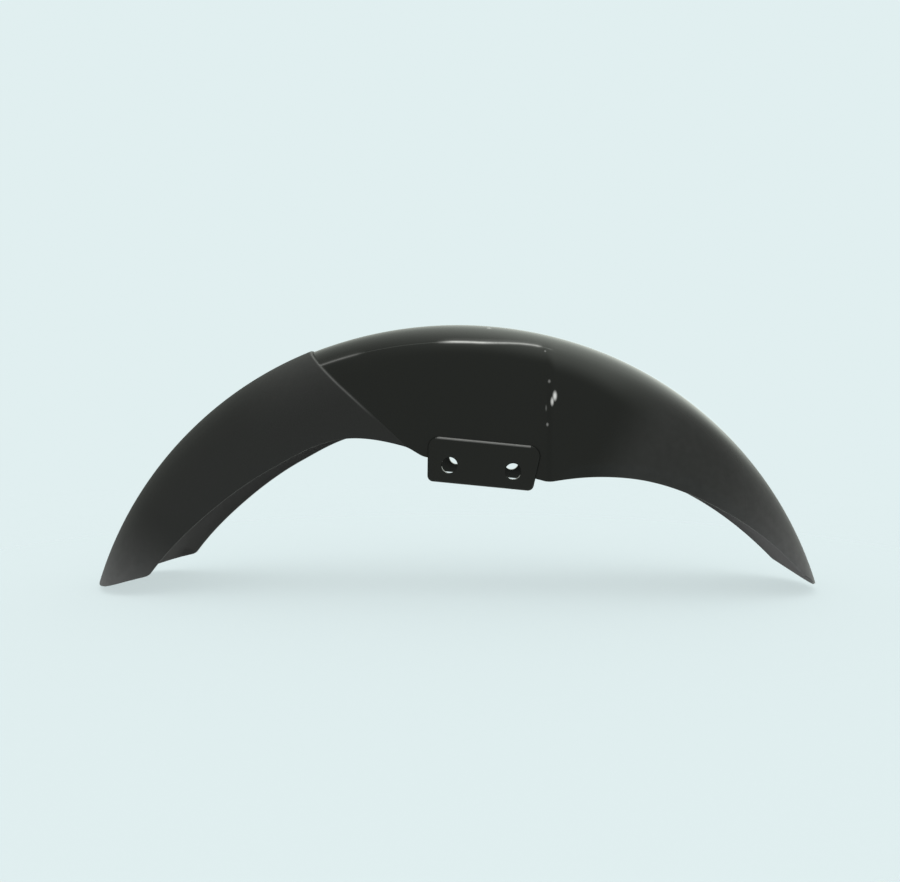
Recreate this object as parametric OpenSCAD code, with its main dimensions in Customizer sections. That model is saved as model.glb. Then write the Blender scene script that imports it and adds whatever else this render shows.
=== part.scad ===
// Front mudguard of a motorcycle: one moulded shell with a mounting pad on each side.
// +X points to the front, +Z up. The origin is below the middle of the guard, at the height of its two ends.

/* [Crown] */
// Radius of the crown about the wheel axle
crown_radius = 354.5; // [330:1:380]
// Radius of the crown across the guard, at the crest
crest_radius = 94; // [80:1:120]
// Angle from the top back to the rear end of the crest
rear_angle = 69.2; // [60:0.1:72]
// Angle from the top forward to the tip
tip_angle = 68.7; // [60:0.1:74]
// How far the crown closes in on the wheel at the rear end
rear_close = 15; // [0:0.5:20]
// How far the crown closes in on the wheel at the tip
front_close = 12; // [0:0.5:20]

/* [Walls] */
// Wall thickness
wall = 2.6; // [2:0.1:4]
// Half width of the rear part
rear_half_width = 62; // [58:0.5:70]
// Half width of the flat panel beside the fork leg
panel_half_width = 61; // [58:0.5:63]
// Half width of the front part, at the step
step_half_width = 67; // [64:0.5:74]
// Half width of the front part, at its widest
front_half_width = 74; // [66:0.5:80]
// Length over which the front part widens ahead of the step
flare_length = 60; // [30:5:90]
// Half width of the front part at the tip
tip_half_width = 52; // [36:0.5:60]
// Fullness of the front part in plan: 2 gives an ellipse, more gives squarer sides
nose_fullness = 2.5; // [2:0.1:3.5]
// How far the lower edge rolls in
edge_tuck = 2.5; // [0:0.5:4]
// Height of the rolled-in edge
tuck_height = 14; // [8:1:20]

/* [Side depth] */
// Depth of the side below the crown at the rear end
rear_end_depth = 50.5; // [45:0.5:60]
// Angle by which the rear end leans forward from the crest to its lower corners
rear_end_lean = 6.4; // [3:0.1:9]
// Depth of the side a third of the way along the rear part
rear_depth = 67.5; // [60:0.5:75]
// Depth of the side two thirds of the way along the rear part
haunch_depth = 77.5; // [72:0.5:84]
// Depth of the side over the arch behind the fork leg
arch_depth = 83.5; // [80:0.5:92]
// Depth of the side at the foot of the seam
seam_depth = 103.5; // [98:0.5:109]
// Depth of the side a third of the way along the front part
front_depth = 82.5; // [74:0.5:90]
// Depth of the side two thirds of the way along the front part
nose_depth = 50.5; // [42:0.5:58]
// Depth of the side at the tip
tip_depth = 15; // [10:0.5:20]
// Angle by which the tip leans back from the crest to its lower corners
tip_lean = 3.4; // [1:0.1:6]
// Radius of the lower corners of the rear end
corner_radius = 7; // [2:0.5:12]
// Radius of the lower corners of the tip
tip_corner_radius = 7; // [2:0.5:12]

/* [Seam and ledge] */
// Angle from the top back to the seam, at the crest
seam_angle = 22; // [20:0.5:26]
// Angle from the top back to the foot of the seam
seam_foot_angle = 10; // [8.5:0.5:12]
// How far the rear part stands out at the seam
seam_raise = 1.6; // [0.8:0.1:2.4]
// Depth of the ledge below the crown
ledge_depth = 18.5; // [14:0.5:24]
// How far the side panel stands out below the ledge
ledge_raise = 1.2; // [0.6:0.1:2]

/* [Front step] */
// Distance of the foot of the step ahead of the axle
step_reach = 73.5; // [71:0.5:78]
// Length over which the side steps out to the front width
step_length = 9; // [6:0.5:12]

/* [Mounting pads] */
// Distance between the outer faces of the two pads
pad_span = 130; // [128:0.5:136]
// Thickness of a pad
pad_thickness = 7; // [6.9:0.1:9]
// Length of a pad
pad_length = 91; // [84:1:94]
// Height of a pad
pad_height = 38; // [36:1:44]
// Radius of the lower corners of a pad
pad_corner = 5; // [2:0.5:8]
// Radius of the upper corners of a pad
pad_top_corner = 9; // [2:0.5:12]
// Angle of the fork leg from upright
fork_angle = 5.2; // [3:0.1:7]
// Depth of the line of the bolt holes below the crown
hole_line_depth = 124; // [118:0.5:130]
// Distance between the two bolt holes of a pad
hole_spacing = 53.5; // [40:0.5:60]
// Diameter of a bolt hole
hole_diameter = 13.6; // [6:0.1:16]

/* [Hidden] */
close_start = 20;
rear_shares = [0.28, 0.54, 0.79];
fork_shares = [0.13, 0.5];
front_shares = [0.33, 0.66];
edge_above_holes = 0.5;
fork_entry_rise = 9;
fork_exit_rise = 4;
seam_blend = 20;
tuck_blend = 30;
step_width = 0.8;
hole_line_height = 15;
pad_shift = 0.5;
pad_side_lean = 6;
bore_margin = 10;
crest_rows = 9;
side_rows = 10;
side_crowding = 1.25;
most_ledge_share = 0.45;
most_step_share = 0.05;
corner_stations = 4;
rear_stations = 16;
inner_stations = 5;
panel_stations = 9;
step_stations = 6;
front_stations = 17;
corner_segments = 6;
hole_segments = 48;

step_end = step_reach + step_length;
hole_line_radius = crown_radius - hole_line_depth;
fork_depth = hole_line_depth - edge_above_holes;
rear_foot_angle = rear_angle - rear_end_lean;
tip_foot_angle = tip_angle - tip_lean;

// Radius of the crest at an angle from the top: a circle that closes in towards both ends
function closing(angle, last, amount) = amount * pow(max(0, angle - close_start) / (last - close_start), 2);
function crest(a) = crown_radius - closing(-a, rear_angle, rear_close) - closing(a, tip_angle, front_close);
function on_circle(a, radius) = [radius * sin(a), radius * cos(a)];
function angle_of(p) = atan2(p.x, p.y);

// Angle at which an upright line ahead of the axle crosses a radius
function upright_angle(reach, radius) = asin(reach / radius);
step_foot_angle = upright_angle(step_reach, crown_radius - fork_depth);
front_foot_angle = upright_angle(step_end, crown_radius - fork_depth);

// Depth of the lower edge, as a smooth curve through [angle, depth] knots
function between(first, last, share) = first + (last - first) * share;
edge_knots = [
    [-rear_foot_angle, rear_end_depth],
    [between(-rear_foot_angle, -seam_foot_angle, rear_shares[0]), rear_depth],
    [between(-rear_foot_angle, -seam_foot_angle, rear_shares[1]), haunch_depth],
    [between(-rear_foot_angle, -seam_foot_angle, rear_shares[2]), arch_depth],
    [-seam_foot_angle, seam_depth],
    [between(-seam_foot_angle, step_foot_angle, fork_shares[0]), fork_depth - fork_entry_rise],
    [between(-seam_foot_angle, step_foot_angle, fork_shares[1]), fork_depth],
    [step_foot_angle, fork_depth],
    [front_foot_angle, fork_depth - fork_exit_rise],
    [between(front_foot_angle, tip_foot_angle, front_shares[0]), front_depth],
    [between(front_foot_angle, tip_foot_angle, front_shares[1]), nose_depth],
    [tip_foot_angle, tip_depth]
];
function knot_slope(k, i) =
    let (low = max(i - 1, 0), high = min(i + 1, len(k) - 1))
    (k[high][1] - k[low][1]) / (k[high][0] - k[low][0]);
function smooth_curve(k, a) =
    let (
        i = max([for (n = [0:len(k) - 2]) if (n == 0 || k[n][0] <= a) n]),
        span = k[i + 1][0] - k[i][0],
        t = (a - k[i][0]) / span
    )
    k[i][1] * (2 * pow(t, 3) - 3 * pow(t, 2) + 1)
    + k[i + 1][1] * (3 * pow(t, 2) - 2 * pow(t, 3))
    + knot_slope(k, i) * span * (pow(t, 3) - 2 * pow(t, 2) + t)
    + knot_slope(k, i + 1) * span * (pow(t, 3) - pow(t, 2));
function corner_cut(distance, radius) =
    distance >= radius ? 0 : radius - sqrt(pow(radius, 2) - pow(radius - distance, 2));
function length_over(angle, radius) = angle * PI / 180 * radius;
function edge_depth(a) =
    smooth_curve(edge_knots, a)
    - corner_cut(length_over(a + rear_foot_angle, crown_radius - rear_end_depth), corner_radius)
    - corner_cut(length_over(tip_foot_angle - a, crown_radius - tip_depth), tip_corner_radius);
function edge_point(a) = on_circle(a, crest(a) - edge_depth(a));

// The seam is a straight line in side view, from the crest to the lower edge
seam_top = on_circle(-seam_angle, crest(-seam_angle));
seam_foot = edge_point(-seam_foot_angle);
function beyond_seam(p) =
    let (line = seam_foot - seam_top, away = p - seam_top)
    (away.x * line.y - away.y * line.x) / -norm(line);

// Half width at a place in side view: constant behind, narrow beside the fork, drawn in to the tip in front
function ease(t) = let (s = min(max(t, 0), 1)) s * s * (3 - 2 * s);
function full_arc(share) = pow(1 - pow(share, nose_fullness), 1 / nose_fullness);
function nose_share(a) =
    full_arc(tip_half_width / front_half_width)
    * max(0, a - front_foot_angle) / (tip_angle - front_foot_angle);
function front_width(a) = front_half_width * full_arc(nose_share(a));
function half_width(p) =
    let (
        behind = between(rear_half_width, panel_half_width, ease(beyond_seam(p) / seam_blend + 0.5)),
        stepped = ease((p.x - step_reach) / step_length),
        flare = (front_half_width - step_half_width) * (1 - ease((p.x - step_end) / flare_length))
    )
    between(behind, front_width(angle_of(p)) - flare, stepped);

// The section is half an ellipse with a fixed crest radius, carried down by upright sides
function section(width, depth) =
    let (drop = pow(width, 2) / crest_radius, rest = max(0, 1 - depth / drop))
    width * sqrt(1 - pow(rest, 2));
function tuck(p, to_edge) =
    let (
        aside = max(ease(-beyond_seam(p) / tuck_blend), ease((p.x - step_end) / tuck_blend)),
        tall = min(tuck_height, edge_depth(angle_of(p)) / 3)
    )
    edge_tuck * tall / tuck_height * aside * pow(max(0, 1 - to_edge / tall), 2);
function skin(p) =
    let (
        a = angle_of(p),
        depth = max(0, crest(a) - norm(p)),
        to_edge = max(0, edge_depth(min(a, tip_foot_angle)) - depth)
    )
    section(half_width(p), depth) - tuck(p, to_edge);

// Stations run from the rear end to the tip: [angle at the crest, angle at the lower edge]
function zone(from, to, count, skip = 0) =
    [for (i = [skip:count]) [between(from[0], to[0], i / count), between(from[1], to[1], i / count)]];
function upright_station(reach) =
    [upright_angle(reach, crown_radius), upright_angle(reach, crown_radius - fork_depth)];
rear_end = [-rear_angle, -rear_foot_angle];
seam_line = [-seam_angle, -seam_foot_angle];
function angle_over(length, radius) = length / radius * 180 / PI;
past_seam = seam_line + [angle_over(step_width, crown_radius), angle_over(step_width, crown_radius - seam_depth)];
corner_span = angle_over(corner_radius, crown_radius - rear_end_depth);
past_corner = rear_end + [corner_span, corner_span];
tip_end = [tip_angle, tip_foot_angle];
tip_corner_span = angle_over(tip_corner_radius, crown_radius - tip_depth);
before_tip = tip_end - [tip_corner_span, tip_corner_span];
stations = concat(
    [for (i = [0:corner_stations])
        let (t = pow(i / corner_stations, 2)) rear_end * (1 - t) + past_corner * t],
    zone(past_corner, seam_line, rear_stations, 1),
    zone(past_seam, upright_station(step_reach), panel_stations),
    [for (i = [1:step_stations]) upright_station(step_reach + step_length * i / step_stations)],
    zone(upright_station(step_end), before_tip, front_stations, 1),
    [for (i = [1:corner_stations])
        let (t = pow(1 - i / corner_stations, 2)) before_tip * t + tip_end * (1 - t)]
);

// Side view position of a row on a station: the rows follow the radius from crest to edge
function on_station(s, share) =
    let (
        top = on_circle(s[0], crest(s[0])),
        run = edge_point(s[1]) - top,
        radius = between(norm(top), norm(edge_point(s[1])), share),
        b = top * run,
        c = top * top - radius * radius
    )
    share == 0 ? top : top + run * (-b - sqrt(max(0, b * b - run * run * c))) / (run * run);
function ledge_share(s) = min(ledge_depth / edge_depth(s[1]), most_ledge_share);
function row_shares(s) =
    let (ledge = ledge_share(s), below = min(step_width / edge_depth(s[1]), most_step_share))
    concat(
        [for (j = [0:crest_rows]) ledge * pow(j / crest_rows, 2)],
        [for (j = [0:side_rows]) between(ledge + below, 1, pow(j / side_rows, side_crowding))]
    );

// Base skin from the near lower edge over the crest to the far one
half_rows = crest_rows + side_rows + 1;
function side_point(p, side) = [p.x, side * skin(p), p.y];
base = [for (s = stations)
    let (shares = row_shares(s), places = [for (f = shares) on_station(s, f)])
    [for (j = [-half_rows:half_rows]) side_point(places[abs(j)], sign(j))]];
last_station = len(stations) - 1;
last_row = 2 * half_rows;
function unit(v) = v / norm(v);
function across(i, j) = base[i][min(j + 1, last_row)] - base[i][max(j - 1, 0)];
function along(i, j) = base[min(i + 1, last_station)][j] - base[max(i - 1, 0)][j];
function outward(i, j) = unit(cross(along(i, j), across(i, j)));

// Relief over the base skin: the rear part, and the panel below the ledge, stand out
seam_index = corner_stations + rear_stations;
step_index = seam_index + panel_stations + 1;
function below_ledge(j) = abs(j - half_rows) > crest_rows;
function relief(i, j) =
    i <= seam_index ? seam_raise
    : !below_ledge(j) ? 0
    : ledge_raise * (1 - ease((i - step_index) / step_stations));
function inner_relief(i) = seam_raise * ease((seam_index - i) / inner_stations);

outer_skin = [for (i = [0:last_station]) [for (j = [0:last_row]) base[i][j] + outward(i, j) * relief(i, j)]];
inner_skin = [for (i = [0:last_station]) [for (j = [0:last_row])
    base[i][j] + outward(i, j) * (inner_relief(i) - wall)]];

// Shell between the two skins, as one closed polyhedron
skin_points = concat([for (row = outer_skin) each row], [for (row = inner_skin) each row]);
row_length = last_row + 1;
inner_start = len(stations) * row_length;
function outer_at(i, j) = i * row_length + j;
function inner_at(i, j) = inner_start + i * row_length + j;
function quad(a, b, c, d) = [[a, b, c], [a, c, d]];
module shell() {
    skins = [for (i = [0:last_station - 1]) for (j = [0:last_row - 1])
        each concat(
            quad(outer_at(i, j), outer_at(i, j + 1), outer_at(i + 1, j + 1), outer_at(i + 1, j)),
            quad(inner_at(i, j), inner_at(i + 1, j), inner_at(i + 1, j + 1), inner_at(i, j + 1))
        )];
    lower_rims = [for (i = [0:last_station - 1])
        each concat(
            quad(outer_at(i, 0), outer_at(i + 1, 0), inner_at(i + 1, 0), inner_at(i, 0)),
            quad(outer_at(i, last_row), inner_at(i, last_row),
                inner_at(i + 1, last_row), outer_at(i + 1, last_row))
        )];
    end_rims = [for (j = [0:last_row - 1])
        each concat(
            quad(outer_at(0, j), inner_at(0, j), inner_at(0, j + 1), outer_at(0, j + 1)),
            quad(outer_at(last_station, j), outer_at(last_station, j + 1),
                inner_at(last_station, j + 1), inner_at(last_station, j))
        )];
    polyhedron(
        points = skin_points,
        faces = concat(skins, lower_rims, end_rims)
    );
}

// Side view outline of a pad: a block with round corners whose ends lean back
pad_ends = [-pad_length / 2, pad_length / 2];
pad_low = -hole_line_height;
pad_high = pad_height - hole_line_height;
function pad_end(x, z) = [x + pad_shift - z * tan(pad_side_lean), z];
pad_radii = [pad_corner, pad_corner, pad_top_corner, pad_top_corner];
pad_corners = [
    pad_end(pad_ends[0] + pad_corner, pad_low + pad_corner),
    pad_end(pad_ends[1] - pad_corner, pad_low + pad_corner),
    pad_end(pad_ends[1] - pad_top_corner, pad_high - pad_top_corner),
    pad_end(pad_ends[0] + pad_top_corner, pad_high - pad_top_corner)
];
pad_outline = [for (k = [0:3]) for (n = [0:corner_segments])
    let (a = 180 + 90 * k + 90 * n / corner_segments)
    pad_corners[k] + pad_radii[k] * [cos(a), sin(a)]];

// Children are placed with X along the line of the bolt holes and Y up the fork leg, Z out of the side
module on_pad_face(side) {
    centre = on_circle(fork_angle, hole_line_radius);
    translate([centre.x, side * pad_span / 2, centre.y])
        rotate([0, fork_angle, 0])
            mirror([0, side < 0 ? 0 : 1, 0])
                rotate([90, 0, 0])
                    children();
}

module pad(side) {
    on_pad_face(side) translate([0, 0, -pad_thickness]) linear_extrude(pad_thickness) polygon(pad_outline);
}

module bolt_holes(side) {
    on_pad_face(side)
        for (x = [-hole_spacing / 2, hole_spacing / 2])
            translate([x, 0, -pad_thickness - bore_margin])
                cylinder(d = hole_diameter, h = pad_thickness + 2 * bore_margin, $fn = hole_segments);
}

// The guard is modelled about the wheel axle, then set with its two ends on the ground
rear_reach = min([for (p = skin_points) p.x]);
front_reach = max([for (p = skin_points) p.x]);
lowest = min([for (p = skin_points) p.z]);
module mudguard() {
    color([0.14, 0.15, 0.14])
        translate([-(rear_reach + front_reach) / 2, 0, -lowest])
            difference() {
                union() {
                    shell();
                    for (side = [-1, 1]) pad(side);
                }
                for (side = [-1, 1]) bolt_holes(side);
            }
}

mudguard();
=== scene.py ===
import math

import bpy
import numpy as np
from mathutils import Matrix


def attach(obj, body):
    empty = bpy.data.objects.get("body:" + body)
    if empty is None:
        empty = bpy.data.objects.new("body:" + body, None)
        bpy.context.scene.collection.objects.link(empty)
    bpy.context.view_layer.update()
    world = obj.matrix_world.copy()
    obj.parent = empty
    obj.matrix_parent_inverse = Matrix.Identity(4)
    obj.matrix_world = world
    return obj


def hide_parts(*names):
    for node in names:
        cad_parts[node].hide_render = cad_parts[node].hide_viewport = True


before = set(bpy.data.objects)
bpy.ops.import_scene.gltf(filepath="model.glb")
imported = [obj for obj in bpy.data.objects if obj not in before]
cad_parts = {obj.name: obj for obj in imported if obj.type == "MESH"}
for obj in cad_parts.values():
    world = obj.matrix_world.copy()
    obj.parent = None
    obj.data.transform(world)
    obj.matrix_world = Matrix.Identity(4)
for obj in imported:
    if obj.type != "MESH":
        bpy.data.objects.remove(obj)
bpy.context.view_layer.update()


# Camera: level with the middle of the guard, square to its right side, and a little rolled, with
# the picture's middle shifted as in the photograph.
PICTURE_WIDTH = 900
CAMERA_PLACE = (0.03569, -0.832, 0.1612)
CAMERA_ROLL = 0.363
camera_data = bpy.data.cameras.new("camera")
camera_data.sensor_width = 36.0
camera_data.lens = 36.74
camera_data.shift_x = -50.3 / PICTURE_WIDTH
camera_data.shift_y = -34.7 / PICTURE_WIDTH
camera_data.clip_end = 50.0
camera = bpy.data.objects.new("camera", camera_data)
roll = math.radians(CAMERA_ROLL)
camera.matrix_world = Matrix.Translation(CAMERA_PLACE) @ Matrix((
    (math.cos(roll), -math.sin(roll), 0, 0),
    (0, 0, -1, 0),
    (math.sin(roll), math.cos(roll), 0, 0),
    (0, 0, 0, 1),
))
bpy.context.scene.collection.objects.link(camera)
bpy.context.scene.camera = camera
bpy.context.scene.view_settings.view_transform = "Standard"


# Studio: pale paper all round with soft light from overhead. The camera sees plain paper; the gloss of
# the plastic sees it brightest overhead and dimmer on the camera's side and far to the front and rear.
PAPER = (0.752, 0.863, 0.871, 1.0)
MIRRORED_PAPER = (0.803, 0.863, 0.785)
AMBIENT = (0.88, 0.88, 0.88, 1.0)
REAR_DUSK, FRONT_DUSK = (-0.45, 0.3), (0.42, 0.74)
END_LIGHT, MIDDLE_LIGHT = 0.5, 0.95
OVERHEAD, OVERHEAD_LIGHT = (0.55, 0.95), 1.3
FAR_SIDE = (-0.75, 0.1)
CAMERA_SIDE_LIGHT = 0.72
world = bpy.data.worlds.new("paper_surround")
bpy.context.scene.world = world
world.use_nodes = True
surround = world.node_tree


def add_node(tree, kind, settings=None, **inputs):
    """A node with its settings. Its inputs go by name, or by i and a number, to a socket or a value."""
    node = tree.nodes.new(kind)
    for key, value in (settings or {}).items():
        setattr(node, key, value)
    for key, value in inputs.items():
        numbered = key[0] == "i" and key[1:].isdigit()
        socket = node.inputs[int(key[1:]) if numbered else key.replace("_", " ")]
        if isinstance(value, bpy.types.NodeSocket):
            tree.links.new(value, socket)
        else:
            socket.default_value = value
    return node


def figure(tree, operation, a, b):
    return add_node(tree, "ShaderNodeMath", {"operation": operation}, i0=a, i1=b).outputs[0]


def vector(tree, operation, a, **others):
    node = add_node(tree, "ShaderNodeVectorMath", {"operation": operation}, i0=a, **others)
    return node.outputs["Value" if operation == "LENGTH" else "Vector"]


def smooth(tree, value, low, high, first=0.0, last=1.0):
    """A value mapped smoothly from one range to another."""
    node = add_node(tree, "ShaderNodeMapRange", {"interpolation_type": "SMOOTHSTEP"}, Value=value,
                    From_Min=low, From_Max=high, To_Min=first, To_Max=last)
    return node.outputs["Result"]


def mixed(tree, factor, first, second):
    node = add_node(tree, "ShaderNodeMix", {"data_type": "RGBA"}, Factor=factor, A=first, B=second)
    return node.outputs["Result"]


heading = add_node(surround, "ShaderNodeSeparateXYZ",
                   Vector=add_node(surround, "ShaderNodeTexCoord").outputs["Generated"])
lit_middle = figure(surround, "MULTIPLY", smooth(surround, heading.outputs["X"], *REAR_DUSK),
                    smooth(surround, heading.outputs["X"], *FRONT_DUSK, 1.0, 0.0))
middle = figure(surround, "ADD", figure(surround, "MULTIPLY", lit_middle, MIDDLE_LIGHT), END_LIGHT)
overhead = figure(surround, "MULTIPLY", middle,
                  smooth(surround, heading.outputs["Z"], *OVERHEAD, 1.0, OVERHEAD_LIGHT))
far_side = smooth(surround, heading.outputs["Y"], *FAR_SIDE)
near_side = figure(surround, "SUBTRACT", 1.0, far_side)
camera_side = figure(surround, "MULTIPLY", near_side, CAMERA_SIDE_LIGHT)
brightness = figure(surround, "ADD", figure(surround, "MULTIPLY", far_side, overhead), camera_side)
mirrored = vector(surround, "SCALE", MIRRORED_PAPER, Scale=brightness)
ray = add_node(surround, "ShaderNodeLightPath")
seen = figure(surround, "MAXIMUM", ray.outputs["Is Camera Ray"], ray.outputs["Is Transmission Ray"])
lit_or_mirrored = mixed(surround, ray.outputs["Is Glossy Ray"], AMBIENT, mirrored)
surround.links.new(mixed(surround, seen, lit_or_mirrored, PAPER),
                   surround.nodes["Background"].inputs["Color"])

lamp_data = bpy.data.lights.new("soft_overhead", "SUN")
lamp_data.energy = 0.38
lamp_data.angle = math.radians(60)
lamp = bpy.data.objects.new("soft_overhead", lamp_data)
lamp.rotation_euler = (math.radians(8), 0, 0)
lamp.visible_glossy = False
bpy.context.scene.collection.objects.link(lamp)

FLOOR_RADIUS, FLOOR_SIDES = 2.4, 64
FADE_START, FADE_END = 0.45, 1.2
SHEERNESS = 0.7
around = np.linspace(0, 2 * math.pi, FLOOR_SIDES + 1)[:-1]
floor_mesh = bpy.data.meshes.new("paper_floor")
floor_mesh.from_pydata(
    [(FLOOR_RADIUS * math.cos(a), FLOOR_RADIUS * math.sin(a), 0) for a in around],
    [], [range(FLOOR_SIDES)],
)
floor = bpy.data.objects.new("paper_floor", floor_mesh)
bpy.context.scene.collection.objects.link(floor)
paper = bpy.data.materials.new("pale_paper")
paper.use_nodes = True
sheet = paper.node_tree
matt = sheet.nodes["Principled BSDF"]
matt.inputs["Base Color"].default_value = PAPER
matt.inputs["Roughness"].default_value = 0.9
matt.inputs["Specular IOR Level"].default_value = 0.0
from_middle = vector(sheet, "LENGTH", add_node(sheet, "ShaderNodeTexCoord").outputs["Object"])
sheer = smooth(sheet, from_middle, FADE_START, FADE_END, SHEERNESS)
gone = add_node(sheet, "ShaderNodeBsdfTransparent")
blend = add_node(sheet, "ShaderNodeMixShader", i0=sheer, i1=matt.outputs["BSDF"],
                 i2=gone.outputs["BSDF"])
sheet.links.new(blend.outputs["Shader"], sheet.nodes["Material Output"].inputs["Surface"])
floor_mesh.materials.append(paper)


# Plastic: one black moulding compound. The tool is polished over the crown and sides, sparked to a
# fine grain behind the seam, and left plain inside the channel, where the colour is painted paler to
# stand for light inside. Painted highlights lie along the lips and painted glints on the step and
# crown, and painted sheen and reflection make the ends, the crown by the seam and the nose's inside
# paler.
PAINTED_HIGHLIGHT = (0.72, 0.73, 0.7, 1.0)
LIGHT_PAINT = (0.13, 0.131, 0.13, 1.0)
DRIFT = 0.15
PATCHES, PATCH_BASE = 0.5, 0.75
HAZE_START, HAZE_END, HAZE = 0.21, 0.28, 0.26


def black_plastic(name, colour, roughness, gloss, grain_size, grain_height, glints=()):
    """Black plastic with a grain in metres, with painted sheen, painted highlights and painted glints,
    duller at the tip.
    """
    material = bpy.data.materials.new(name)
    material.use_nodes = True
    tree = material.node_tree
    spot = add_node(tree, "ShaderNodeTexCoord").outputs["Object"]
    drift = add_node(tree, "ShaderNodeTexNoise", Vector=spot, Scale=9.0, Detail=3.0).outputs["Fac"]
    patches = add_node(tree, "ShaderNodeTexNoise", Vector=spot, Scale=160.0).outputs["Fac"]
    broken = figure(tree, "ADD", figure(tree, "MULTIPLY", patches, PATCHES), PATCH_BASE)
    darker = (*[c * (1 - DRIFT) for c in colour], 1.0)
    lighter = (*[c * (1 + DRIFT) for c in colour], 1.0)
    surface = mixed(tree, drift, darker, lighter)
    # The two stored masks paint sheen and highlights in pale colours over the plastic.
    for attribute, pale in (("painted_light", LIGHT_PAINT), ("painted_highlight", PAINTED_HIGHLIGHT)):
        mask = add_node(tree, "ShaderNodeAttribute", {"attribute_name": attribute}).outputs["Fac"]
        share = add_node(tree, "ShaderNodeMath", {"operation": "MULTIPLY", "use_clamp": True},
                         i0=mask, i1=broken)
        surface = mixed(tree, share.outputs[0], surface, pale)
    # Each spot paints a glint in the highlight colour.
    for place, size, strength in glints:
        apart = vector(tree, "SUBTRACT", spot, i1=place)
        distance = vector(tree, "LENGTH", vector(tree, "DIVIDE", apart, i1=size))
        surface = mixed(tree, smooth(tree, distance, 1.0, 0.1, 0.0, strength), surface, PAINTED_HIGHLIGHT)
    grain = add_node(tree, "ShaderNodeTexNoise", Vector=spot, Scale=1 / grain_size, Detail=4.0)
    bump = add_node(tree, "ShaderNodeBump", Strength=1.0, Distance=grain_height,
                    Height=grain.outputs["Fac"])
    shader = tree.nodes["Principled BSDF"]
    shader.inputs["Specular IOR Level"].default_value = gloss
    tree.links.new(surface, shader.inputs["Base Color"])
    uneven = smooth(tree, drift, 0.0, 1.0, roughness * (1 - DRIFT), roughness * (1 + DRIFT))
    forward = add_node(tree, "ShaderNodeSeparateXYZ", Vector=spot).outputs["X"]
    haze = smooth(tree, forward, HAZE_START, HAZE_END, 0.0, HAZE)
    tree.links.new(figure(tree, "ADD", uneven, haze), shader.inputs["Roughness"])
    tree.links.new(bump.outputs["Normal"], shader.inputs["Normal"])
    return material


# Each painted glint, at the step or on the crown, has its place, its half sizes and how pale it is.
PAINTED_GLINTS = [
    ((0.0811, -0.068, 0.1702), (0.0024, 0.02, 0.0056), 1.0),
    ((0.0789, -0.068, 0.1655), (0.0018, 0.02, 0.0050), 0.9),
    ((0.0765, -0.066, 0.1824), (0.0016, 0.02, 0.0022), 0.25),
    ((0.0752, -0.066, 0.1462), (0.0014, 0.02, 0.0022), 0.3),
    ((0.0741, -0.066, 0.1600), (0.0010, 0.02, 0.0036), 0.15),
    ((0.0735, -0.061, 0.2083), (0.0014, 0.02, 0.0014), 0.4),
    ((0.0256, -0.027, 0.2300), (0.0034, 0.016, 0.0018), 0.4),
]
gloss_black = black_plastic("gloss_black", (0.0065, 0.0072, 0.0062), roughness=0.16, gloss=0.28,
                            grain_size=0.004, grain_height=0.00001, glints=PAINTED_GLINTS)
grained_black = black_plastic("grained_black", (0.0108, 0.0113, 0.0106), roughness=0.56, gloss=0.36,
                              grain_size=0.0011, grain_height=0.00012)
# The inside's colour is painted much paler than the outside's, standing for light inside the channel;
# the moulding is the same black.
underside_painted_pale = black_plastic("underside_painted_pale", (0.085, 0.087, 0.084), roughness=0.6, gloss=0.3,
                                grain_size=0.003, grain_height=0.00003)


# Moulded shell: an arch of U section over the tyre, drawn from its crest line, lower edge and half
# width. The rear part stands proud at the seam, and the side panels below the ledge. Up to the mesh,
# lengths are in millimetres, and angles in degrees about the wheel's centre.
CROWN_RADIUS = 354.5
CREST_RADIUS = 94.0
REAR_ANGLE, REAR_LEAN, REAR_CLOSE = 69.2, 6.4, 15.0
TIP_ANGLE, TIP_LEAN, FRONT_CLOSE = 68.7, 3.4, 12.0
CLOSE_START = 20.0
REAR_WIDTH, PANEL_WIDTH, STEP_WIDTH, FRONT_WIDTH, TIP_WIDTH = 62.0, 61.0, 67.0, 74.0, 52.0
FLARE = 60.0
FULLNESS = 2.5
TUCK, TUCK_HEIGHT, TUCK_BLEND = 2.5, 14.0, 30.0
REAR_CORNER, TIP_CORNER = 7.0, 2.5
FORK_DEPTH, SEAM_DEPTH, REAR_END_DEPTH, TIP_DEPTH = 123.5, 103.5, 50.5, 15.0
SEAM_ANGLE, SEAM_FOOT = 22.0, 10.0
LEDGE_DEPTH, LEDGE_RISE = 18.5, 4.2
WALL = 2.6
STEP_REACH, STEP_LENGTH = 73.5, 9.0
SEAM_BLEND = 20.0
GROUND = np.array([-0.789, -120.3])
PAD_CENTRE, PAD_COVER, PAD_RECESS, PAD_BLEND = 20.9, 43.0, 12.0, 8.0


def part_way(first, last, share):
    return first + (last - first) * share


def ease(t):
    t = np.clip(t, 0, 1)
    return t * t * (3 - 2 * t)


def rising(value, start, length):
    """0 up to the start and 1 beyond the length."""
    return ease((value - start) / length)


def crest(angle):
    rear = REAR_CLOSE * np.maximum(0, (-angle - CLOSE_START) / (REAR_ANGLE - CLOSE_START)) ** 2
    front = FRONT_CLOSE * np.maximum(0, (angle - CLOSE_START) / (TIP_ANGLE - CLOSE_START)) ** 2
    return CROWN_RADIUS - rear - front


def on_circle(angle, radius):
    a = np.radians(angle)
    return np.stack([radius * np.sin(a), radius * np.cos(a)], axis=-1)


def angle_of(p):
    return np.degrees(np.arctan2(p[..., 0], p[..., 1]))


def upright_angle(reach, radius):
    return math.degrees(math.asin(reach / radius))


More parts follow.
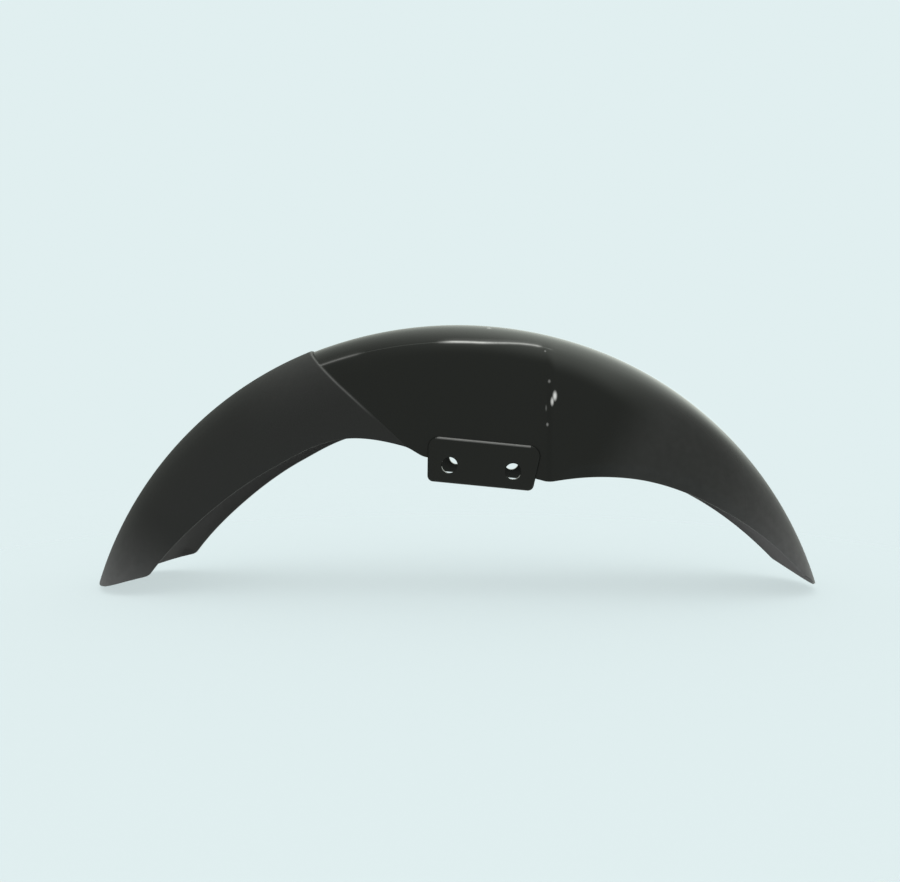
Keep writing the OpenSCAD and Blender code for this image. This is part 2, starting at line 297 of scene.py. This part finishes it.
rear_foot = REAR_ANGLE - REAR_LEAN
tip_foot = TIP_ANGLE - TIP_LEAN
step_foot = upright_angle(STEP_REACH, CROWN_RADIUS - FORK_DEPTH)
front_foot = upright_angle(STEP_REACH + STEP_LENGTH, CROWN_RADIUS - FORK_DEPTH)
edge_knots = np.array([
    (-rear_foot, REAR_END_DEPTH),
    (part_way(-rear_foot, -SEAM_FOOT, 0.28), 67.5),
    (part_way(-rear_foot, -SEAM_FOOT, 0.54), 77.5),
    (part_way(-rear_foot, -SEAM_FOOT, 0.79), 83.5),
    (-SEAM_FOOT, SEAM_DEPTH),
    (part_way(-SEAM_FOOT, step_foot, 0.13), FORK_DEPTH - 9),
    (part_way(-SEAM_FOOT, step_foot, 0.5), FORK_DEPTH),
    (step_foot, FORK_DEPTH),
    (front_foot, FORK_DEPTH - 4),
    (part_way(front_foot, tip_foot, 0.33), 82.5),
    (part_way(front_foot, tip_foot, 0.66), 50.5),
    (tip_foot, TIP_DEPTH),
])


def corner_cut(distance, radius):
    inside = np.clip(distance, 0, radius)
    return radius - np.sqrt(radius ** 2 - (radius - inside) ** 2)


def edge_depth(angle):
    """Depth of the lower edge below the crest: a smooth curve through the knots, with a round corner
    at each end, and raised behind the pads so that their holes are open."""
    angle = np.asarray(angle, float)
    knot, knot_depth = edge_knots[:, 0], edge_knots[:, 1]
    last = len(knot) - 1
    before = np.maximum(np.arange(last + 1) - 1, 0)
    after = np.minimum(np.arange(last + 1) + 1, last)
    slope = (knot_depth[after] - knot_depth[before]) / (knot[after] - knot[before])
    i = np.clip(np.searchsorted(knot, angle, side="right") - 1, 0, last - 1)
    span = knot[i + 1] - knot[i]
    t = (angle - knot[i]) / span
    depth = (
        knot_depth[i] * (2 * t ** 3 - 3 * t ** 2 + 1) + knot_depth[i + 1] * (3 * t ** 2 - 2 * t ** 3)
        + slope[i] * span * (t ** 3 - 2 * t ** 2 + t) + slope[i + 1] * span * (t ** 3 - t ** 2)
    )
    from_rear = np.radians(angle + rear_foot) * (CROWN_RADIUS - REAR_END_DEPTH)
    from_tip = np.radians(tip_foot - angle) * (CROWN_RADIUS - TIP_DEPTH)
    from_pad = np.abs(np.sin(np.radians(angle)) * (CROWN_RADIUS - FORK_DEPTH) - PAD_CENTRE)
    raised = PAD_RECESS * ease((PAD_COVER - from_pad) / PAD_BLEND)
    return depth - corner_cut(from_rear, REAR_CORNER) - corner_cut(from_tip, TIP_CORNER) - raised


def edge_point(angle):
    return on_circle(angle, crest(np.asarray(angle, float)) - edge_depth(angle))


seam_top = on_circle(-SEAM_ANGLE, crest(np.array(-SEAM_ANGLE)))
seam_foot_point = edge_point(-SEAM_FOOT)


def beyond_seam(p):
    line, away = seam_foot_point - seam_top, p - seam_top
    return -(away[..., 0] * line[1] - away[..., 1] * line[0]) / np.hypot(*line)


def full_arc(share):
    return (1 - share ** FULLNESS) ** (1 / FULLNESS)


def half_width(p):
    behind = part_way(REAR_WIDTH, PANEL_WIDTH, ease(beyond_seam(p) / SEAM_BLEND + 0.5))
    to_tip = np.maximum(0, angle_of(p) - front_foot) / (TIP_ANGLE - front_foot)
    nose = full_arc(TIP_WIDTH / FRONT_WIDTH) * to_tip
    flare = (FRONT_WIDTH - STEP_WIDTH) * (1 - ease((p[..., 0] - STEP_REACH - STEP_LENGTH) / FLARE))
    front = FRONT_WIDTH * full_arc(nose) - flare
    return part_way(behind, front, rising(p[..., 0], STEP_REACH, STEP_LENGTH))


def depth_of(p):
    return crest(angle_of(p)) - np.linalg.norm(p, axis=-1)


def plain_skin(p):
    """Half width at a place in side view, before the edge tucks in: half an ellipse, then upright."""
    width = half_width(p)
    rest = np.maximum(0, 1 - np.maximum(0, depth_of(p)) / (width ** 2 / CREST_RADIUS))
    return width * np.sqrt(1 - rest ** 2)


def skin(p):
    full_depth = edge_depth(np.minimum(angle_of(p), tip_foot))
    to_edge = np.maximum(0, full_depth - np.maximum(0, depth_of(p)))
    aside = np.maximum(ease(-beyond_seam(p) / TUCK_BLEND),
                       ease((p[..., 0] - STEP_REACH - STEP_LENGTH) / TUCK_BLEND))
    tall = np.minimum(TUCK_HEIGHT, full_depth / 3)
    tucked = TUCK * tall / TUCK_HEIGHT * aside * np.maximum(0, 1 - to_edge / tall) ** 2
    return plain_skin(p) - tucked


def run_between(first, last, count):
    """Stations from one line to the next, as pairs of angles at the crest and at the lower edge."""
    t = np.arange(1, count + 1) / count
    return first + (last - first) * t[:, None]


def upright(reach):
    """An upright line in side view, as its angles at the crest and at the fork's depth."""
    radii_met = (CROWN_RADIUS, CROWN_RADIUS - FORK_DEPTH)
    return np.array([upright_angle(reach, radius) for radius in radii_met])


def over(length, radius):
    return math.degrees(length / radius)


SEAM_FACE, SEAM_LEAD, SEAM_TAIL = 1.4, 1.8, 1.2
STEP_MARGIN = 1
FROM_END = np.array([0, 0.12, 0.35, 0.7, 1.1, 1.6, 2.3, 3.2, 4.4, 6.0, 8.0])
REAR_RUN, SEAM_RUN, PANEL_RUN, STEP_RUN, FRONT_RUN = 76, 17, 44, 18, 84
seam = np.array([-SEAM_ANGLE, -SEAM_FOOT])
seam_slip = np.array([over(1, CROWN_RADIUS), over(1, CROWN_RADIUS - SEAM_DEPTH)])
rear_end = np.array([-REAR_ANGLE, -rear_foot])
rear_corner = rear_end + over(FROM_END[-1], CROWN_RADIUS - REAR_END_DEPTH)
tip_end = np.array([TIP_ANGLE, tip_foot])
tip_corner = tip_end - over(FROM_END[-1], CROWN_RADIUS - TIP_DEPTH)
seam_start = seam - seam_slip * SEAM_LEAD
seam_end = seam + seam_slip * (SEAM_FACE + SEAM_TAIL)
step_start = upright(STEP_REACH - STEP_MARGIN)
step_end = upright(STEP_REACH + STEP_LENGTH + STEP_MARGIN)
stations = np.vstack([
    rear_end[None],
    rear_end + (rear_corner - rear_end) * (FROM_END[1:, None] / FROM_END[-1]),
    run_between(rear_corner, seam_start, REAR_RUN),
    run_between(seam_start, seam_end, SEAM_RUN),
    run_between(seam_end, step_start, PANEL_RUN),
    run_between(step_start, step_end, STEP_RUN),
    run_between(step_end, tip_corner, FRONT_RUN),
    tip_end - (tip_end - tip_corner) * (FROM_END[-2::-1, None] / FROM_END[-1]),
])
CREST_ROWS, LEDGE_ROWS, SIDE_ROWS = 13, 15, 34
CREST_LIMIT, LEDGE_LIMIT = 0.45, 0.08
SIDE_CROWDING = 0.35
LEDGE_FACE, LEDGE_LEAD = 1.2, 1.8
LEDGE_RISE_START, LEDGE_RISE_LENGTH = 15, 55
RIM_ROWS = np.array([1.6, 1.1, 0.7, 0.35, 0.12, 0.0])


def ledge_line(reach):
    """Depth of the ledge below the crest, less towards the front."""
    return LEDGE_DEPTH - LEDGE_RISE * rising(reach, LEDGE_RISE_START, LEDGE_RISE_LENGTH)


def row_shares(full_depth, ledge_depth):
    """Shares of the depth from crest to lower edge, with close rows over the ledge and at the rim."""
    lead = np.minimum((ledge_depth - LEDGE_LEAD) / full_depth, CREST_LIMIT)
    face = np.minimum((LEDGE_FACE + 2 * LEDGE_LEAD) / full_depth, LEDGE_LIMIT)
    crown = lead * (np.arange(CREST_ROWS) / CREST_ROWS) ** 2
    ledge = lead + face * np.arange(LEDGE_ROWS) / LEDGE_ROWS
    rim = 1 - RIM_ROWS / full_depth
    t = np.arange(SIDE_ROWS) / SIDE_ROWS
    side = part_way(lead + face, rim[0], part_way(t, ease(t), SIDE_CROWDING))
    return np.concatenate([crown, ledge, side, rim])


# Each place is where the straight line from the crest down to the lower edge has its row's radius.
crest_points = on_circle(stations[:, 0], crest(stations[:, 0]))
edge_points = edge_point(stations[:, 1])
full_depths = edge_depth(stations[:, 1])
shares = np.array([row_shares(*pair) for pair in zip(full_depths, ledge_line(crest_points[:, 0]))])
run = edge_points - crest_points
crest_radii = np.linalg.norm(crest_points, axis=1)[:, None]
edge_radii = np.linalg.norm(edge_points, axis=1)[:, None]
radii = part_way(crest_radii, edge_radii, shares)
a = (run * run).sum(axis=1)[:, None]
b = (crest_points * run).sum(axis=1)[:, None]
c = (crest_points ** 2).sum(axis=1)[:, None] - radii ** 2
along_run = np.where(shares == 0, 0, (-b - np.sqrt(np.maximum(0, b * b - a * c))) / a)
places = crest_points[:, None] + run[:, None] * along_run[..., None]
widths = skin(places)

# The way out of the skin follows from how the square of its half width changes around each place.
NUDGE = 0.02
half = places.shape[1] - 1
row_of = np.abs(np.arange(-half, half + 1))
side_of = np.sign(np.arange(-half, half + 1))
base = np.stack([places[:, row_of, 0], widths[:, row_of] * side_of, places[:, row_of, 1]], axis=-1)
slope_x, slope_z = [
    plain_skin(places + NUDGE * direction) ** 2 - plain_skin(places - NUDGE * direction) ** 2
    for direction in (np.array([1, 0]), np.array([0, 1]))
]
outward = np.stack([-slope_x[:, row_of], 4 * NUDGE * base[..., 1], -slope_z[:, row_of]], axis=-1)
outward /= np.linalg.norm(outward, axis=-1, keepdims=True)

# How far the outer skin is lifted behind the seam and below the ledge, and the inner skin behind the
# seam.
INNER_BLEND = 14
along = places[:, row_of, 0]
depths = depth_of(places)[:, row_of]
past_seam = beyond_seam(places)[:, row_of]
past_ledge = depths - ledge_line(along)
seam_share = 1 - ease(past_seam / SEAM_FACE)
inner_share = ease(-past_seam / INNER_BLEND)
to_front = rising(along, STEP_REACH, STEP_LENGTH)
ledge_share = ease(past_ledge / LEDGE_FACE) * (1 - seam_share) * (1 - to_front)

# Round rim: towards the edges both skins close in on the middle of the wall, almost fully at the ends
# and less along the sides, and the rear end rolls in.
SIDE_ROUND, SIDE_SHARE = 0.8, 0.55
FULL_SHARE = 0.9
REAR_ROLL = 3.6


def rolled_in(gap):
    """How far an edge has rounded off at a gap from it, as a share of the radius."""
    return 1 - np.sqrt(1 - (1 - np.minimum(gap, 1)) ** 2)


end_gap = np.full(len(stations), FROM_END[-1])
end_gap[:len(FROM_END)] = FROM_END
end_gap[-len(FROM_END):] = FROM_END[::-1]
place_radii = np.linalg.norm(places, axis=-1)
edge_gap = (place_radii - place_radii[:, -1:])[:, row_of]
end_round = rolled_in(end_gap[:, None] / (WALL / 2))
side_round = rolled_in(edge_gap / SIDE_ROUND)
rim_share = np.minimum(np.maximum(end_round, SIDE_SHARE * side_round), FULL_SHARE)
rear_gap = np.where(np.arange(len(stations)) < len(FROM_END), end_gap, REAR_ROLL)
rear_roll = rolled_in(rear_gap[:, None] / REAR_ROLL) * np.maximum(0, -outward[..., 0])

# Painted highlights lie along the lips of the ledge and the seam, and painted sheen and reflection
# make both ends, the crown by the seam and the inside of the nose paler. A mask rises from a start
# over a length, in millimetres, or in degrees of the arch for the painted sheen.
SEAM_HIGHLIGHT, REAR_LEDGE_HIGHLIGHT = 0.11, 0.2
FRONT_PAINTED_LIGHT, TIP_PAINTED_LIGHT, SEAM_PAINTED_LIGHT = 0.12, 0.88, 0.13


def band(distance, middle, width):
    return np.exp(-((distance - middle) / width) ** 2)


# These masks paint highlight lines along the lip of the ledge and of the seam.
ledge_highlight_band = band(past_ledge, 0.4, 1.25) * ledge_share.max(axis=1)[:, None]
fore_part = rising(along, -20, 18) * (1 - 0.4 * rising(along, 20, 15)) * (1 - rising(along, 69, 4))
fore_and_aft = fore_part + REAR_LEDGE_HIGHLIGHT * rising(-along, 78, 12)
seam_highlight_band = band(past_seam, 0.2, 0.75) * (1 - rising(depths, 45, 35))
painted_highlight = np.clip(ledge_highlight_band * fore_and_aft + seam_highlight_band * SEAM_HIGHLIGHT, 0, 1)
forward_angle = angle_of(places)[:, row_of]
# These masks paint sheen and reflection paler over the ends, by the seam and inside the nose.
rear_painted_light = np.clip((-forward_angle - 53) / 16, 0, 1) ** 2
tip_painted_light = np.clip((forward_angle - 40) / 28, 0, 1) ** 2
front_painted_light = rising(forward_angle, 25, 9)
seam_painted_light = rising(forward_angle, -36, 12) * seam_share * (1 - ease(depths / 60))
painted_light = rear_painted_light + FRONT_PAINTED_LIGHT * front_painted_light + TIP_PAINTED_LIGHT * tip_painted_light + SEAM_PAINTED_LIGHT * seam_painted_light
inner_painted_light = rising(forward_angle, 25, 25)

rows = 2 * half + 1
count = len(stations)
cells = count * rows
index = np.arange(cells).reshape(count, rows)
corners = [index[:-1, :-1], index[1:, :-1], index[1:, 1:], index[:-1, 1:]]
outer_faces = np.stack(corners, axis=-1).reshape(-1, 4)
inner_faces = outer_faces[:, ::-1] + cells
rims = []
for line, turned in ((index[:, 0], True), (index[:, -1], False), (index[0], False), (index[-1], True)):
    rim = np.stack([line[:-1], line[1:], line[1:] + cells, line[:-1] + cells], axis=-1)
    rims.append(rim[:, ::-1] if turned else rim)
faces = np.vstack([outer_faces, inner_faces, *rims])
ground_shift = np.array([GROUND[0], 0, GROUND[1]])
skin_points = (base.reshape(-1, 3) + ground_shift) / 1000
shell_mesh = bpy.data.meshes.new("moulded_shell")
shell_mesh.from_pydata(np.vstack([skin_points, skin_points]).tolist(), [], faces.tolist())

# The grain covers the outer skin behind the seam and the rims; the inner skin is plain.
seam_station = len(stations[(stations[:, 0] <= seam_end[0])]) - 1
is_grained = np.zeros(len(faces), bool)
is_grained[:len(outer_faces)] = np.repeat(np.arange(count - 1) < seam_station, rows - 1)
is_grained[2 * len(outer_faces):] = True
is_underside = np.zeros(len(faces), bool)
is_underside[len(outer_faces):2 * len(outer_faces)] = True


def write_attribute(mesh, name, kind, domain, values):
    layer = mesh.attributes.new(name, kind, domain)
    layer.data.foreach_set("vector" if kind == "FLOAT_VECTOR" else "value", np.asarray(values).ravel())


write_attribute(shell_mesh, "outward", "FLOAT_VECTOR", "POINT", np.stack([outward, outward]))
nothing, everything = np.zeros((count, rows)), np.ones((count, rows))
for name, outer_values, inner_values in (
    ("seam_share", seam_share, inner_share),
    ("ledge_share", ledge_share, nothing),
    ("rim_share", rim_share, rim_share),
    ("rear_roll", rear_roll, rear_roll),
    ("inner_layer", nothing, everything),
    ("painted_highlight", painted_highlight, nothing),
    ("painted_light", painted_light, inner_painted_light),
):
    write_attribute(shell_mesh, name, "FLOAT", "POINT", np.stack([outer_values, inner_values]))
write_attribute(shell_mesh, "grained", "BOOLEAN", "FACE", is_grained)
write_attribute(shell_mesh, "underside", "BOOLEAN", "FACE", is_underside)
shell_mesh.shade_smooth()


def new_tree(name, inputs):
    """A Geometry Nodes tree with named inputs, given as (name, socket type, value)."""
    tree = bpy.data.node_groups.new(name, "GeometryNodeTree")
    tree.interface.new_socket("Geometry", in_out="INPUT", socket_type="NodeSocketGeometry")
    for socket_name, kind, value in inputs:
        socket = tree.interface.new_socket(socket_name, in_out="INPUT", socket_type=kind)
        if kind != "NodeSocketMaterial":
            socket.default_value = value
    tree.interface.new_socket("Geometry", in_out="OUTPUT", socket_type="NodeSocketGeometry")
    return tree, tree.nodes.new("NodeGroupInput"), tree.nodes.new("NodeGroupOutput")


def stored(tree, name, kind="FLOAT"):
    node = add_node(tree, "GeometryNodeInputNamedAttribute", {"data_type": kind}, Name=name)
    return node.outputs["Attribute"]


def keep_mesh(piece):
    """Turns a piece and its modifiers into a plain mesh."""
    shaped = bpy.data.meshes.new_from_object(piece.evaluated_get(bpy.context.evaluated_depsgraph_get()))
    piece.modifiers.clear()
    piece.data = shaped


def run_tree(piece, tree, values):
    """Runs a tree on a piece with its named inputs and keeps the plain mesh."""
    modifier = piece.modifiers.new(tree.name, "NODES")
    modifier.node_group = tree
    for item in tree.interface.items_tree:
        if item.in_out == "INPUT" and item.name in values:
            modifier[item.identifier] = values[item.name]
    keep_mesh(piece)


wall_tree, wall_in, wall_out = new_tree("moulded_wall", [
    ("Wall", "NodeSocketFloat", 0.0026),
    ("Seam raise", "NodeSocketFloat", 0.0016),
    ("Ledge raise", "NodeSocketFloat", 0.0012),
    ("Rear roll", "NodeSocketFloat", 0.0036),
    ("Gloss", "NodeSocketMaterial", None),
    ("Grained", "NodeSocketMaterial", None),
    ("Underside", "NodeSocketMaterial", None),
])
seam_lift = figure(wall_tree, "MULTIPLY", wall_in.outputs["Seam raise"],
                   stored(wall_tree, "seam_share"))
ledge_lift = figure(wall_tree, "MULTIPLY", wall_in.outputs["Ledge raise"],
                    stored(wall_tree, "ledge_share"))
lift = figure(wall_tree, "ADD", seam_lift, ledge_lift)
sunk = figure(wall_tree, "MULTIPLY", wall_in.outputs["Wall"], stored(wall_tree, "inner_layer"))
half_wall = figure(wall_tree, "MULTIPLY", wall_in.outputs["Wall"], 0.5)
twice_inner = figure(wall_tree, "MULTIPLY", stored(wall_tree, "inner_layer"), 2.0)
out_or_in = figure(wall_tree, "SUBTRACT", 1.0, twice_inner)
closing = figure(wall_tree, "MULTIPLY", figure(wall_tree, "MULTIPLY", half_wall, out_or_in),
                 stored(wall_tree, "rim_share"))
offset = figure(wall_tree, "SUBTRACT", figure(wall_tree, "SUBTRACT", lift, sunk), closing)
push = vector(wall_tree, "SCALE", stored(wall_tree, "outward", "FLOAT_VECTOR"), Scale=offset)
rolled = add_node(wall_tree, "ShaderNodeCombineXYZ",
                  X=figure(wall_tree, "MULTIPLY", wall_in.outputs["Rear roll"],
                           stored(wall_tree, "rear_roll")))
moved = vector(wall_tree, "ADD", push, i1=rolled.outputs[0])
shaped_skin = add_node(wall_tree, "GeometryNodeSetPosition", Geometry=wall_in.outputs["Geometry"],
                       Offset=moved)
whole = add_node(wall_tree, "GeometryNodeRealizeInstances", Geometry=shaped_skin.outputs[0])
all_gloss = add_node(wall_tree, "GeometryNodeSetMaterial", Geometry=whole.outputs[0],
                     Material=wall_in.outputs["Gloss"])
rear_grained = add_node(wall_tree, "GeometryNodeSetMaterial", Geometry=all_gloss.outputs[0],
                        Selection=stored(wall_tree, "grained", "BOOLEAN"),
                        Material=wall_in.outputs["Grained"])
inside_plain = add_node(wall_tree, "GeometryNodeSetMaterial", Geometry=rear_grained.outputs[0],
                        Selection=stored(wall_tree, "underside", "BOOLEAN"),
                        Material=wall_in.outputs["Underside"])
wall_tree.links.new(inside_plain.outputs[0], wall_out.inputs[0])

shell = bpy.data.objects.new("guard_shell", shell_mesh)
bpy.context.scene.collection.objects.link(shell)
run_tree(shell, wall_tree, {
    "Wall": WALL / 1000, "Rear roll": REAR_ROLL / 1000,
    "Gloss": gloss_black, "Grained": grained_black, "Underside": underside_painted_pale,
})
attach(shell, "root")
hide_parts("mudguard")


# Mounting pads: a thick flat block on each side for the fork bracket, moulded with the wall and square
# to the fork leg, with rounded edges. The near one is drawn flat, stood up, and mirrored for the far
# side.
FORK_ANGLE = 0.0908
HOLE_LINE = (0.0201, 0.0, 0.10925)
FORWARD_SHIFT = 0.0003
SHARP_BEND = 0.87
STAND_UP = (math.pi / 2, 0.0, 0.0)
pad_tree, pad_in, pad_out = new_tree("bolt_pad", [
    ("Length below", "NodeSocketFloat", 0.0885),
    ("Length above", "NodeSocketFloat", 0.097),
    ("Height", "NodeSocketFloat", 0.038),
    ("Thickness", "NodeSocketFloat", 0.007),
    ("Corner", "NodeSocketFloat", 0.005),
    ("Top corner", "NodeSocketFloat", 0.009),
    ("Lean", "NodeSocketFloat", 0.001),
    ("Below holes", "NodeSocketFloat", 0.015),
    ("Span", "NodeSocketFloat", 0.13),
    ("Fork angle", "NodeSocketFloat", FORK_ANGLE),
    ("Hole line", "NodeSocketVector", HOLE_LINE),
    ("Plastic", "NodeSocketMaterial", None),
])
outline = add_node(pad_tree, "GeometryNodeCurvePrimitiveQuadrilateral", {"mode": "TRAPEZOID"},
                   Bottom_Width=pad_in.outputs["Length below"],
                   Top_Width=pad_in.outputs["Length above"],
                   Height=pad_in.outputs["Height"], Offset=pad_in.outputs["Lean"])
corner = add_node(pad_tree, "ShaderNodeSeparateXYZ",
                  Vector=add_node(pad_tree, "GeometryNodeInputPosition").outputs[0])
is_top = figure(pad_tree, "GREATER_THAN", corner.outputs["Y"], 0.0)
corner_radius = add_node(pad_tree, "GeometryNodeSwitch", {"input_type": "FLOAT"}, Switch=is_top,
                         **{"False": pad_in.outputs["Corner"], "True": pad_in.outputs["Top corner"]})
rounded = add_node(pad_tree, "GeometryNodeFilletCurve", {"mode": "POLY"}, Curve=outline.outputs[0],
                   Count=8, Radius=corner_radius.outputs[0])
half_height = figure(pad_tree, "DIVIDE", pad_in.outputs["Height"], 2.0)
rise = figure(pad_tree, "SUBTRACT", half_height, pad_in.outputs["Below holes"])
from_holes = add_node(pad_tree, "ShaderNodeCombineXYZ", X=FORWARD_SHIFT, Y=rise)
centred = add_node(pad_tree, "GeometryNodeTransform", Geometry=rounded.outputs[0],
                   Translation=from_holes.outputs[0])
front_face = add_node(pad_tree, "GeometryNodeFillCurve", {"mode": "NGONS"}, Curve=centred.outputs[0])
thickness = add_node(pad_tree, "ShaderNodeCombineXYZ", Z=pad_in.outputs["Thickness"])
drawn = add_node(pad_tree, "GeometryNodeExtrudeMesh", Mesh=front_face.outputs[0],
                 Offset=thickness.outputs[0], Individual=False)
back_face = add_node(pad_tree, "GeometryNodeFlipFaces", Mesh=front_face.outputs[0])
block = add_node(pad_tree, "GeometryNodeJoinGeometry")
pad_tree.links.new(drawn.outputs["Mesh"], block.inputs[0])
pad_tree.links.new(back_face.outputs[0], block.inputs[0])
closed = add_node(pad_tree, "GeometryNodeMergeByDistance", Geometry=block.outputs[0], Distance=0.00001)
bend = add_node(pad_tree, "GeometryNodeInputMeshEdgeAngle").outputs["Unsigned Angle"]
weighted = add_node(pad_tree, "GeometryNodeStoreNamedAttribute",
                    {"data_type": "FLOAT", "domain": "EDGE"},
                    Geometry=closed.outputs[0], Name="bevel_weight_edge",
                    Value=figure(pad_tree, "GREATER_THAN", bend, SHARP_BEND))
half_span = figure(pad_tree, "DIVIDE", pad_in.outputs["Span"], 2.0)
inset = add_node(pad_tree, "ShaderNodeCombineXYZ",
                 Z=figure(pad_tree, "SUBTRACT", half_span, pad_in.outputs["Thickness"]))
spaced = add_node(pad_tree, "GeometryNodeTransform", Geometry=weighted.outputs[0],
                  Translation=inset.outputs[0])
stood = add_node(pad_tree, "GeometryNodeTransform", Geometry=spaced.outputs[0], Rotation=STAND_UP)
pad_turn = add_node(pad_tree, "ShaderNodeCombineXYZ", Y=pad_in.outputs["Fork angle"])
near_pad = add_node(pad_tree, "GeometryNodeTransform", Geometry=stood.outputs[0],
                    Rotation=pad_turn.outputs[0], Translation=pad_in.outputs["Hole line"])
mirror_pad = add_node(pad_tree, "GeometryNodeTransform", Geometry=near_pad.outputs[0],
                      Scale=(1.0, -1.0, 1.0))
far_pad = add_node(pad_tree, "GeometryNodeFlipFaces", Mesh=mirror_pad.outputs[0])
both = add_node(pad_tree, "GeometryNodeJoinGeometry")
pad_tree.links.new(near_pad.outputs[0], both.inputs[0])
pad_tree.links.new(far_pad.outputs[0], both.inputs[0])
made = add_node(pad_tree, "GeometryNodeRealizeInstances", Geometry=both.outputs[0])
finished = add_node(pad_tree, "GeometryNodeSetMaterial", Geometry=made.outputs[0],
                    Material=pad_in.outputs["Plastic"])
pad_tree.links.new(finished.outputs[0], pad_out.inputs[0])
pads = bpy.data.objects.new("bolt_pads", bpy.data.meshes.new("bolt_pads"))
bpy.context.scene.collection.objects.link(pads)
run_tree(pads, pad_tree, {"Plastic": gloss_black})
rounded_edges = pads.modifiers.new("rounded_edges", "BEVEL")
rounded_edges.width = 0.002
rounded_edges.segments = 4
rounded_edges.limit_method = "WEIGHT"
keep_mesh(pads)


# Bolt holes: two through each pad, on the line square to the fork leg, left open. They are drilled
# after the edges are rounded, and the flat faces keep their plain shading.
CREASE = 0.6
hole_tree, hole_in, hole_out = new_tree("bolt_holes", [
    ("Hole spacing", "NodeSocketFloat", 0.0535),
    ("Hole radius", "NodeSocketFloat", 0.0068),
    ("Drill length", "NodeSocketFloat", 0.16),
    ("Fork angle", "NodeSocketFloat", FORK_ANGLE),
    ("Hole line", "NodeSocketVector", HOLE_LINE),
    ("Plastic", "NodeSocketMaterial", None),
])
drill = add_node(hole_tree, "GeometryNodeMeshCylinder", {"fill_type": "NGON"}, Vertices=48,
                 Radius=hole_in.outputs["Hole radius"], Depth=hole_in.outputs["Drill length"])
half_spacing = figure(hole_tree, "DIVIDE", hole_in.outputs["Hole spacing"], 2.0)
rear_hole = add_node(hole_tree, "ShaderNodeCombineXYZ",
                     X=figure(hole_tree, "MULTIPLY", half_spacing, -1.0))
front_hole = add_node(hole_tree, "ShaderNodeCombineXYZ", X=half_spacing)
hole_points = add_node(hole_tree, "GeometryNodeMeshLine", {"mode": "END_POINTS"}, Count=2)
hole_tree.links.new(rear_hole.outputs[0], hole_points.inputs["Start Location"])
hole_tree.links.new(front_hole.outputs[0], hole_points.inputs["Offset"])
drills = add_node(hole_tree, "GeometryNodeInstanceOnPoints", Points=hole_points.outputs[0],
                  Instance=drill.outputs["Mesh"], Rotation=STAND_UP)
hole_turn = add_node(hole_tree, "ShaderNodeCombineXYZ", Y=hole_in.outputs["Fork angle"])
set_up = add_node(hole_tree, "GeometryNodeTransform", Geometry=drills.outputs[0],
                  Rotation=hole_turn.outputs[0], Translation=hole_in.outputs["Hole line"])
cutters = add_node(hole_tree, "GeometryNodeRealizeInstances", Geometry=set_up.outputs[0])
drilled = add_node(hole_tree, "GeometryNodeMeshBoolean", {"operation": "DIFFERENCE", "solver": "EXACT"})
hole_tree.links.new(hole_in.outputs["Geometry"], drilled.inputs["Mesh 1"])
hole_tree.links.new(cutters.outputs[0], drilled.inputs["Mesh 2"])
pads_done = add_node(hole_tree, "GeometryNodeSetMaterial", Geometry=drilled.outputs["Mesh"],
                     Material=hole_in.outputs["Plastic"])
hole_tree.links.new(pads_done.outputs[0], hole_out.inputs[0])
run_tree(pads, hole_tree, {"Plastic": gloss_black})
pads.data.shade_smooth()
pads.data.set_sharp_from_angle(angle=CREASE)
flat_faces = pads.modifiers.new("flat_faces", "WEIGHTED_NORMAL")
flat_faces.keep_sharp = True
flat_faces.weight = 100
keep_mesh(pads)

# A painted highlight lies along the top edge of each pad, as on the ledge, but for its corners.
TOP_EDGE = 0.018
PAD_HIGHLIGHT = 0.27
middles = np.array([face.center for face in pads.data.polygons]) - np.array(HOLE_LINE)
facing = np.array([face.normal for face in pads.data.polygons])
up_leg = middles[:, 0] * math.sin(FORK_ANGLE) + middles[:, 2] * math.cos(FORK_ANGLE)
on_leg = middles[:, 0] * math.cos(FORK_ANGLE) - middles[:, 2] * math.sin(FORK_ANGLE)
top_lip = rising(facing[:, 2], 0.15, 0.1) * rising(np.abs(facing[:, 1]), 0.3, 0.2) * (up_leg > TOP_EDGE)
highlight_length = rising(on_leg, -0.041, 0.004) * (1 - rising(on_leg, 0.036, 0.005))
write_attribute(pads.data, "painted_highlight", "FLOAT", "FACE", PAD_HIGHLIGHT * top_lip * highlight_length)
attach(pads, "root")
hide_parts("mudguard")
